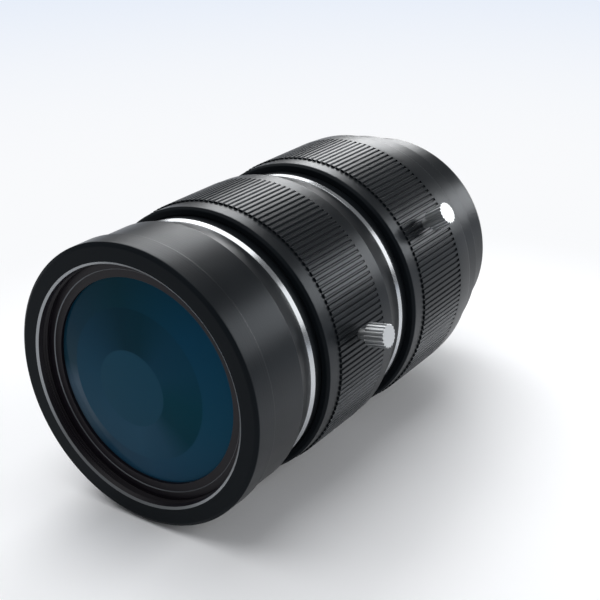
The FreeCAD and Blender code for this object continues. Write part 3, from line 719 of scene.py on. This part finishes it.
@dataclass
class FrontBarrel:
    """Front barrel with its bezel, filter mouth, trim line and helicoid tube."""

    mouth_radius: float = 20.64
    thread_radius: float = 20.25
    thread_minor_radius: float = 19.97
    thread_pitch: float = 0.5
    bevel_depth: float = 0.25
    bezel_radius: float = 23.7
    face_bevel: tuple[float, float] = (0.6, 0.42)
    bezel_length: float = 4.1
    barrel_radius: float = 23.24
    taper: tuple[float, float] = (12.45, 16.64)
    taper_radius: float = 21.9
    seat_radius: float = 21.2
    spigot_end: float = 20.0
    sleeve_bore: float = 20.57
    glass_radius: float = 18.62
    ring_station: float = 2.3
    ring_radius: float = 20.0
    ring_back: float = 4.6
    lip: tuple[float, float] = (6.75, 8.25)
    lip_radius: float = 17.0
    helicoid_radius: float = 22.1
    helicoid_end: float = 32.0
    trim_end: float = 17.44
    trim_radius: float = 22.2

    def barrel_profile(self) -> Profile:
        """Give the closed profile of the barrel without its thread.

        Returns:
            The corners, from the front face round to the back of the mouth.
        """
        return [
            (self.mouth_radius, 0.0),
            (self.bezel_radius - self.face_bevel[0], 0.0),
            (self.bezel_radius, self.face_bevel[1]),
            (self.bezel_radius, self.bezel_length + 0.3),
            (self.barrel_radius, self.bezel_length + 0.35),
            (self.barrel_radius, self.taper[0]),
            (self.taper_radius, self.taper[1]),
            (self.seat_radius, self.taper[1]),
            (self.seat_radius, self.spigot_end),
            (self.glass_radius, self.spigot_end),
            (self.glass_radius, self.lip[1]),
            (self.lip_radius, self.lip[1]),
            (self.lip_radius, self.lip[0]),
            (self.glass_radius, self.lip[0]),
            (self.glass_radius, self.ring_back),
            (self.ring_radius, self.ring_back),
            (self.ring_radius, self.ring_station),
            (self.thread_radius, self.ring_station),
        ]

    def thread_profile(self) -> Profile:
        """Give the zigzag of the filter thread.

        Returns:
            The corners, from the thread's back end to the mouth.
        """
        points: Profile = []
        station = self.ring_station - 0.15
        while station - self.thread_pitch > self.bevel_depth:
            points.append((self.thread_radius, station))
            points.append((self.thread_minor_radius, station - self.thread_pitch / 2))
            station -= self.thread_pitch
        points.append((self.thread_radius, self.bevel_depth))
        return points

    def build(self, finishes: Finishes) -> None:
        """Build and register the barrel, its trim line and the helicoid tube.

        Args:
            finishes: Source of the materials.
        """
        outer = [self.barrel_profile()[0], *softened(self.barrel_profile(), 0.12)[6:]]
        mesh = lathe_mesh(outer + self.thread_profile(), 256)
        for material in (Finishes.BLACK, Finishes.MOUTH, Finishes.BARE_SHADED_EDGE):
            mesh.materials.append(finishes.of(material))
        # Forward-looking faces take the sheenless copy of the black: painted shade.
        paint_faces(mesh, finishes.of(Finishes.SHADED_FACE))
        for face in mesh.polygons:
            radius = math.hypot(face.center.x, face.center.z) / MM
            station = face.center.y / MM + FLANGE_STATION
            if radius < self.thread_radius + 0.02 and station > self.bevel_depth:
                face.material_index = 1
            # The mouth's bevel takes the bare edge finish, whose grey is partly painted
            # shade.
            elif radius < self.mouth_radius and station < self.bevel_depth:
                face.material_index = 2
        barrel = place_piece(mesh, "front_barrel_shell", finishes.of(Finishes.BLACK), 30)
        register(barrel, Body.FRONT_GROUP, Slot.BLACK, "front_barrel")
        trim = softened([
            (self.seat_radius + 0.02, self.taper[1]),
            (self.taper_radius, self.taper[1]),
            (self.trim_radius, self.trim_end),
            (self.seat_radius + 0.02, self.trim_end),
        ], 0.05)
        piece = place_piece(lathe_mesh(trim, 256), "front_trim_line",
                            finishes.of(Finishes.BRIGHT))
        register(piece, Body.FRONT_GROUP, Slot.BRIGHT, "front_trim_ring")
        tube = softened([
            (self.seat_radius + 0.02, self.trim_end),
            (self.helicoid_radius, self.trim_end),
            (self.helicoid_radius, self.helicoid_end),
            (self.sleeve_bore, self.helicoid_end),
            (self.sleeve_bore, self.spigot_end),
            (self.seat_radius + 0.02, self.spigot_end),
        ], 0.06)
        piece = place_piece(lathe_mesh(tube, 256), "helicoid_sleeve",
                            finishes.of(Finishes.BLACK))
        register(piece, Body.FRONT_GROUP, Slot.BLACK, "helicoid_tube")


@dataclass
class FrontGlass:
    """Retaining ring and coated front element."""

    ring_radius: float = 19.98
    ring_front: float = 2.3
    ring_back: float = 4.6
    step_radius: float = 18.8
    step: float = 0.15
    lip: float = 0.6
    clear_radius: float = 17.4
    glass_radius: float = 18.6
    glass_front: float = 3.05
    glass_back: float = 6.75
    bulge: float = 0.65
    back_radius: float = 17.0
    back_bulge: float = 0.6

    def ring_profile(self) -> Profile:
        """Give the closed profile of the retaining ring.

        Returns:
            The corners of the ring.
        """
        inner = self.ring_front + self.step
        return [
            (self.step_radius, self.ring_front),
            (self.ring_radius, self.ring_front),
            (self.ring_radius, self.ring_back),
            (self.glass_radius + 0.02, self.ring_back),
            (self.glass_radius + 0.02, inner + self.lip),
            (self.clear_radius, inner + self.lip),
            (self.clear_radius, inner),
            (self.step_radius - self.step, inner),
        ]

    def glass_profile(self, steps: int = 24) -> Profile:
        """Give the closed profile of the element with both curved faces.

        Args:
            steps: Points along each curved face.

        Returns:
            The profile, from the front pole to the back pole.
        """
        def cap(radius: float, bulge: float, share: float) -> float:
            """Give the height of a spherical cap at a share of its foot's radius."""
            ball = (radius**2 + bulge**2) / (2 * bulge)
            return math.sqrt(ball**2 - (radius * share) ** 2) - (ball - bulge)

        front = [(self.clear_radius * i / steps,
                  self.glass_front - cap(self.clear_radius, self.bulge, i / steps))
                 for i in range(steps + 1)]
        back = [(self.back_radius * i / steps,
                 self.glass_back + cap(self.back_radius, self.back_bulge, i / steps))
                for i in range(steps, -1, -1)]
        rim = [(self.glass_radius, self.glass_front), (self.glass_radius, self.glass_back)]
        return front + rim + back

    def build(self, finishes: Finishes) -> None:
        """Build and register the ring and the front element.

        Args:
            finishes: Source of the materials.
        """
        mesh = lathe_mesh(softened(self.ring_profile(), 0.06), 256)
        mesh.materials.append(finishes.of(Finishes.MOUTH))
        # The step edge of the ring takes the pale line: a painted highlight.
        mesh.materials.append(finishes.of(Finishes.HIGHLIGHT_EDGE))
        for face in mesh.polygons:
            radius = math.hypot(face.center.x, face.center.z) / MM
            if abs(radius - self.step_radius + self.step / 2) < self.step / 2:
                face.material_index = 1
        ring = place_piece(mesh, "front_glass_ring", finishes.of(Finishes.MOUTH))
        register(ring, Body.FRONT_GROUP, Slot.BLACK, "front_retaining_ring")
        glass = place_piece(lathe_mesh(self.glass_profile(), 192), "front_glass",
                            finishes.of(Finishes.FRONT_GLASS), 30)
        register(glass, Body.FRONT_GROUP, Slot.FRONT_GLASS, "front_lens")


@dataclass
class KnurledRing:
    """Ring with a band of straight ridges round its outside."""

    name: str
    node: str
    body: Body
    outline: Profile
    knurl: tuple[float, float]
    ridge_radius: float
    end_bevels: tuple[float, float]
    count: int = 150
    ridge_width: float = 0.46
    shoulder_width: float = 0.64
    foot_width: float = 0.78
    ridge_height: float = 0.25
    shoulder: float = 0.1
    sink: float = 0.06

    def section(self) -> list[tuple[float, float]]:
        """Give the cross-section of a ridge, its foot sunk into the ring.

        Returns:
            The corners as (across, radius).
        """
        top = self.ridge_radius
        side = [
            (self.foot_width / 2, top - self.ridge_height - self.sink),
            (self.foot_width / 2, top - self.ridge_height),
            (self.shoulder_width / 2, top - self.shoulder),
            (self.ridge_width / 2, top),
        ]
        return side + [(-across, radius) for across, radius in reversed(side)]

    def build(self, finishes: Finishes, around: AroundTree) -> None:
        """Build and register the ring.

        Args:
            finishes: Source of the materials.
            around: Tree that repeats the ridges.
        """
        black = finishes.of(Finishes.BLACK)
        ring = lathe_mesh(softened(self.outline, 0.1), 256)
        ring.materials.append(black)
        ridge = prism_mesh(self.section(), *self.knurl, self.end_bevels)
        mesh = joined(ring, around.repeat(ridge, self.count, black))
        # Forward-looking faces take the sheenless copy of the black: painted shade.
        paint_faces(mesh, finishes.of(Finishes.SHADED_FACE))
        piece = place_piece(mesh, self.name, black, 35)
        register(piece, self.body, Slot.BLACK, self.node)


@dataclass
class LockScrew:
    """Radial locking screw with a fluted head."""

    name: str
    node: str
    body: Body
    station: float
    angle: float
    tip: float
    top: float = 29.1
    head_length: float = 3.5
    head_radius: float = 2.0
    shank_radius: float = 0.88
    flutes: int = 18
    flute_radius: float = 0.25

    def profile(self) -> Profile:
        """Give the closed profile along the screw.

        Returns:
            The corners, from the tip outwards.
        """
        under = self.top - self.head_length
        return softened([
            (0.0, self.tip),
            (self.shank_radius - 0.2, self.tip),
            (self.shank_radius, self.tip + 0.2),
            (self.shank_radius, under),
            (self.head_radius - 0.08, under),
            (self.head_radius, under + 0.08),
            (self.head_radius, self.top - 0.08),
            (self.head_radius - 0.08, self.top),
            (0.0, self.top),
        ], 0.05)

    def columns(self) -> list[tuple[float, float]]:
        """Work out how far out the round flute lets the head reach.

        Returns:
            (angle, largest radius) across one pitch.
        """
        widest = math.degrees(math.asin(self.flute_radius / self.head_radius))
        side = [(180 / self.flutes, self.head_radius), (widest + 0.3, self.head_radius)]
        for share in (0.97, 0.8, 0.5, 0.2):
            turn = math.radians(widest * share)
            across = self.head_radius * math.sin(turn)
            reach = self.head_radius * math.cos(turn)
            side.append((widest * share, reach - math.sqrt(self.flute_radius**2 - across**2)))
        return [(-angle, limit) for angle, limit in side] + side[::-1]

    def build(self, finishes: Finishes, around: AroundTree) -> None:
        """Build the screw upright, stand it on its ring and register it.

        Args:
            finishes: Source of the materials.
            around: Tree that repeats the flutes.
        """
        steel = finishes.of(Finishes.STAINLESS)
        mesh = around.repeat(sector_mesh(self.profile(), self.columns()), self.flutes, steel)
        outwards = Matrix.Rotation(-math.radians(self.angle), 4, "Y")
        upright = Matrix.Rotation(-math.pi / 2, 4, "Z")
        shift = Matrix.Translation((0, (self.station - FLANGE_STATION) * MM, 0))
        # The end of the head takes the darker steel: painted shade.
        mesh.materials.append(finishes.of(Finishes.SHADED_SCREW_END))
        for face in mesh.polygons:
            if face.center.y > (self.top - 0.06) * MM:
                face.material_index = 1
        mesh.transform(shift @ outwards @ upright)
        piece = place_piece(mesh, self.name, steel, 35)
        register(piece, self.body, Slot.STAINLESS, self.node)


@dataclass
class RearBarrel:
    """Stepped rear barrel, camera mount ring and the trim line between the rings."""

    front: float = 67.7
    radius: float = 22.27
    step: float = 73.5
    neck_radius: float = 20.05
    bevel_start: float = 80.7
    bevel_radius: float = 19.4
    back: float = 82.0
    bore: float = 15.6
    main_radius: float = 20.52
    main_back: float = 70.0
    flange_radius: float = 15.0
    thread_radius: float = 12.7
    thread_depth: float = 0.45
    thread_pitch: float = 0.794
    thread_length: float = 4.0
    mount_bore: float = 10.6
    mount_front: float = 76.0
    trim_line: tuple[tuple[float, float], ...] = (
        (21.02, 44.0), (22.05, 44.0), (22.2, 44.86), (21.02, 44.86),
    )

    def build(self, finishes: Finishes) -> None:
        """Build and register the barrel, the mount ring and the trim line.

        Args:
            finishes: Source of the materials.
        """
        barrel = softened([
            (self.main_radius, self.front),
            (self.radius, self.front),
            (self.radius, self.step - 0.2),
            (self.radius - 0.2, self.step),
            (self.neck_radius, self.step),
            (self.neck_radius, self.bevel_start),
            (self.bevel_radius, self.back),
            (self.bore, self.back),
            (self.bore, self.main_back),
            (self.main_radius, self.main_back),
        ], 0.12)
        piece = place_piece(lathe_mesh(barrel, 256), "rear_barrel_shell",
                            finishes.of(Finishes.BLACK))
        register(piece, Body.HOUSING, Slot.BLACK, "rear_barrel")
        seat = FLANGE_STATION
        ring = softened([
            (self.mount_bore, self.mount_front),
            (self.bore - 0.02, self.mount_front),
            (self.bore - 0.02, self.back),
            (self.flange_radius, self.back),
            (self.flange_radius, seat),
            (self.thread_radius, seat),
        ], 0.1)
        thread: Profile = []
        station = seat + 0.3
        while station + self.thread_pitch < seat + self.thread_length - 0.2:
            thread.append((self.thread_radius, station))
            thread.append((self.thread_radius - self.thread_depth,
                           station + self.thread_pitch / 2))
            station += self.thread_pitch
        thread += [
            (self.thread_radius, station),
            (self.thread_radius - 0.4, seat + self.thread_length),
            (self.mount_bore, seat + self.thread_length),
        ]
        piece = place_piece(lathe_mesh(ring + thread, 192), "camera_mount",
                            finishes.of(Finishes.BLACK), 30)
        register(piece, Body.HOUSING, Slot.BLACK, "camera_mount_ring")
        line = softened(list(self.trim_line), 0.05)
        piece = place_piece(lathe_mesh(line, 256), "centre_trim_line",
                            finishes.of(Finishes.BRIGHT))
        register(piece, Body.HOUSING, Slot.BRIGHT, "centre_trim_ring")


@dataclass(frozen=True)
class Lamp:
    """Area lamp that runs along the lens and faces its axis.

    Attributes:
        name: Name of the lamp.
        polar: Angle round the axis, from +X towards +Z, degrees.
        distance: Distance from the axis, metres.
        along: Centre along Y, metres.
        width: Size round the axis, metres.
        length: Size along Y, metres.
        radiance: Brightness of its face.
    """

    name: str
    polar: float
    distance: float
    along: float
    width: float
    length: float
    radiance: float


@dataclass
class Studio:
    """Floor, lamps and camera; lengths in metres unless a name says otherwise.

    The floor's tint and its even white both fade in with distance from floor_spot.
    """

    floor_height: float = -0.0241
    floor_size: float = 3.0
    floor_spot: tuple[float, float] = (0.02, -0.05)
    tint_reach: tuple[float, float] = (0.15, 0.6)
    white_reach: tuple[float, float] = (0.045, 0.125)
    sky: float = 0.22
    sensor_mm: float = 36.0
    focal_pixels: float = 1216.4
    picture_pixels: int = 600
    lamps: tuple[Lamp, ...] = (
        Lamp("overhead strip, front", 134.0, 0.45, 0.21, 0.3, 0.42, 2.3),
        Lamp("overhead strip, rear", 134.0, 0.45, 0.74, 0.3, 0.64, 7.4),
        Lamp("side strip, front", 31.0, 0.7, 0.28, 0.40, 0.66, 1.6),
        Lamp("side strip, rear", 31.0, 0.7, 1.19, 0.40, 0.85, 8.0),
        Lamp("large fill", 104.0, 1.2, -0.15, 1.3, 1.3, 2.0),
    )

    def build(self) -> None:
        """Set up the floor, the world, the strip lamps, the fill and the camera."""
        self.floor()
        self.world()
        for lamp in self.lamps:
            self.strip(lamp)
        self.camera()

    def floor(self) -> None:
        """Add the pale floor."""
        mesh = bpy.data.meshes.new("floor")
        half = self.floor_size / 2
        corners = [(-half, -half), (half, -half), (half, half), (-half, half)]
        mesh.from_pydata([(x, y, self.floor_height) for x, y in corners], [], [(0, 1, 2, 3)])
        floor = bpy.data.objects.new("floor", mesh)
        bpy.context.scene.collection.objects.link(floor)
        material, tree = new_material("matt paper floor, cool white")
        place = add_node(tree, "ShaderNodeTexCoord")
        reach = add_node(tree, "ShaderNodeVectorMath",
                         {"operation": "DISTANCE", 1: (*self.floor_spot, self.floor_height)},
                         {0: place.outputs["Object"]})
        far, white = (
            add_node(tree, "ShaderNodeMapRange",
                     {"interpolation_type": "SMOOTHSTEP", "From Min": near, "From Max": away},
                     {"Value": reach.outputs["Value"]}).outputs[0]
            for near, away in (self.tint_reach, self.white_reach)
        )
        colour = add_node(
            tree, "ShaderNodeMix", {"data_type": "RGBA", 6: linear("#f9fafc"),
                                    7: linear("#e4ecf9")},
            {0: far},
        )
        paper = add_node(tree, "ShaderNodeBsdfPrincipled",
                         {"Roughness": 0.9, "Specular IOR Level": 0.1},
                         {"Base Color": colour.outputs[2]})
        # Away from the lens, views and reflections of the floor get its even paper white.
        glow = add_node(tree, "ShaderNodeEmission", {"Strength": 1.0},
                        {"Color": colour.outputs[2]})
        rays = add_node(tree, "ShaderNodeLightPath")
        direct = rays.outputs["Is Camera Ray"]
        for kind in ("Is Glossy Ray", "Is Transmission Ray"):
            direct = add_node(tree, "ShaderNodeMath", {"operation": "MAXIMUM"},
                              {0: direct, 1: rays.outputs[kind]}).outputs[0]
        share = add_node(tree, "ShaderNodeMath", {"operation": "MULTIPLY"},
                         {0: direct, 1: white})
        shader = add_node(tree, "ShaderNodeMixShader",
                          links={0: share.outputs[0], 1: paper.outputs[0],
                                 2: glow.outputs[0]})
        finish_tree(tree, shader)
        mesh.materials.append(material)

    def world(self) -> None:
        """Give the room a dim even light."""
        world = bpy.data.worlds.new("dim studio")
        bpy.context.scene.world = world
        world.use_nodes = True
        tree = world.node_tree
        tree.nodes.clear()
        light = add_node(tree, "ShaderNodeBackground",
                         {"Color": linear("#fafcff"), "Strength": self.sky})
        add_node(tree, "ShaderNodeOutputWorld", links={"Surface": light.outputs[0]})

    def strip(self, given: Lamp) -> None:
        """Add a lamp.

        Args:
            given: Its place, size and brightness.
        """
        light = bpy.data.lights.new(given.name, "AREA")
        light.shape = "RECTANGLE"
        light.size = given.width
        light.size_y = given.length
        light.energy = given.radiance * given.width * given.length * math.pi
        lamp = bpy.data.objects.new(given.name, light)
        bpy.context.scene.collection.objects.link(lamp)
        turn = math.radians(given.polar)
        out = Vector((math.cos(turn), 0, math.sin(turn)))
        lamp.location = out * given.distance + Vector((0, given.along, 0))
        long_side = Vector((0, 1, 0))
        wide_side = long_side.cross(out)
        lamp.matrix_world = Matrix((
            (wide_side.x, long_side.x, out.x, lamp.location.x),
            (wide_side.y, long_side.y, out.y, lamp.location.y),
            (wide_side.z, long_side.z, out.z, lamp.location.z),
            (0, 0, 0, 1),
        ))

    def camera(self) -> None:
        """Place the camera fitted to the photograph."""
        data = bpy.data.cameras.new("camera")
        data.sensor_width = self.sensor_mm
        data.lens = self.sensor_mm * self.focal_pixels / self.picture_pixels
        camera = bpy.data.objects.new("camera", data)
        bpy.context.scene.collection.objects.link(camera)
        right = Vector((0.83108, 0.55615, 0.0))
        up = Vector((-0.22547, 0.33693, 0.91413))
        back = Vector((0.50839, -0.75972, 0.40541))
        spot = Vector((0.113556, -0.123425 - FLANGE_STATION * MM, 0.088517))
        camera.matrix_world = Matrix((
            (right.x, up.x, back.x, spot.x),
            (right.y, up.y, back.y, spot.y),
            (right.z, up.z, back.z, spot.z),
            (0, 0, 0, 1),
        ))
        data.clip_start = 0.01
        bpy.context.scene.camera = camera


FOCUS_OUTLINE: Profile = [
    (22.15, 19.25), (23.13, 19.25), (23.55, 19.67), (23.55, 22.63), (23.6, 22.63),
    (23.6, 36.13), (23.73, 36.13), (23.73, 38.76), (22.05, 43.9), (20.55, 43.9),
    (20.55, 34.0), (22.15, 34.0),
]
IRIS_OUTLINE: Profile = [
    (20.55, 46.55), (23.23, 46.55), (23.65, 47.05), (23.65, 49.9), (23.7, 49.9),
    (23.7, 63.5), (23.95, 63.5), (23.95, 64.7), (23.78, 67.6), (20.55, 67.6),
]


def dress_cad_nodes(frame: dict, finishes: Finishes) -> None:
    """Give the CAD nodes that stay their finishes.

    Args:
        frame: The loaded frame.
        finishes: Source of the materials.
    """
    plain = {
        Finishes.BLACK: ("main_barrel", "focus_keeper_ring", "rear_lens_cell",
                         "rear_group_nut", "front_group_nut"),
        Finishes.MOUTH: ("iris_plate", "iris_keeper_ring", "iris_cam_ring",
                         "front_spacer_ring", "rear_spacer_ring"),
        Finishes.STEEL: ("focus_guide_key", "iris_drive_pin"),
        Finishes.LEAF: tuple(f"iris_leaf_{index}" for index in range(1, 7)),
        Finishes.INNER_GLASS: ("second_lens", "third_lens", "fourth_lens", "fifth_lens"),
    }
    for finish, names in plain.items():
        for name in names:
            for slot in frame["nodes"][name].material_slots:
                slot.material = finishes.of(finish)


def main() -> None:
    """Build the lens and its studio, piece by piece."""
    logging.basicConfig(level=logging.INFO, format="%(name)s: %(message)s")
    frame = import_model()
    scene = bpy.context.scene
    scene.view_settings.view_transform = "Standard"
    finishes = Finishes()
    around = AroundTree()
    Studio().build()
    FrontBarrel().build(finishes)
    FrontGlass().build(finishes)
    KnurledRing("focus_knurled_ring", "focus_ring", Body.FOCUS, FOCUS_OUTLINE,
                (22.63, 36.13), 23.85, (0.05, 0.05)).build(finishes, around)
    KnurledRing("iris_knurled_ring", "iris_ring", Body.IRIS, IRIS_OUTLINE,
                (49.9, 63.55), 23.945, (0.05, 0.0)).build(finishes, around)
    LockScrew("focus_thumb_screw", "focus_lock_screw", Body.FOCUS_LOCK,
              28.8, 10.3, 22.25).build(finishes, around)
    LockScrew("iris_thumb_screw", "iris_lock_screw", Body.IRIS_LOCK,
              56.7, 34.8, 20.65).build(finishes, around)
    RearBarrel().build(finishes)
    dress_cad_nodes(frame, finishes)


if __name__ == "__main__":
    main()
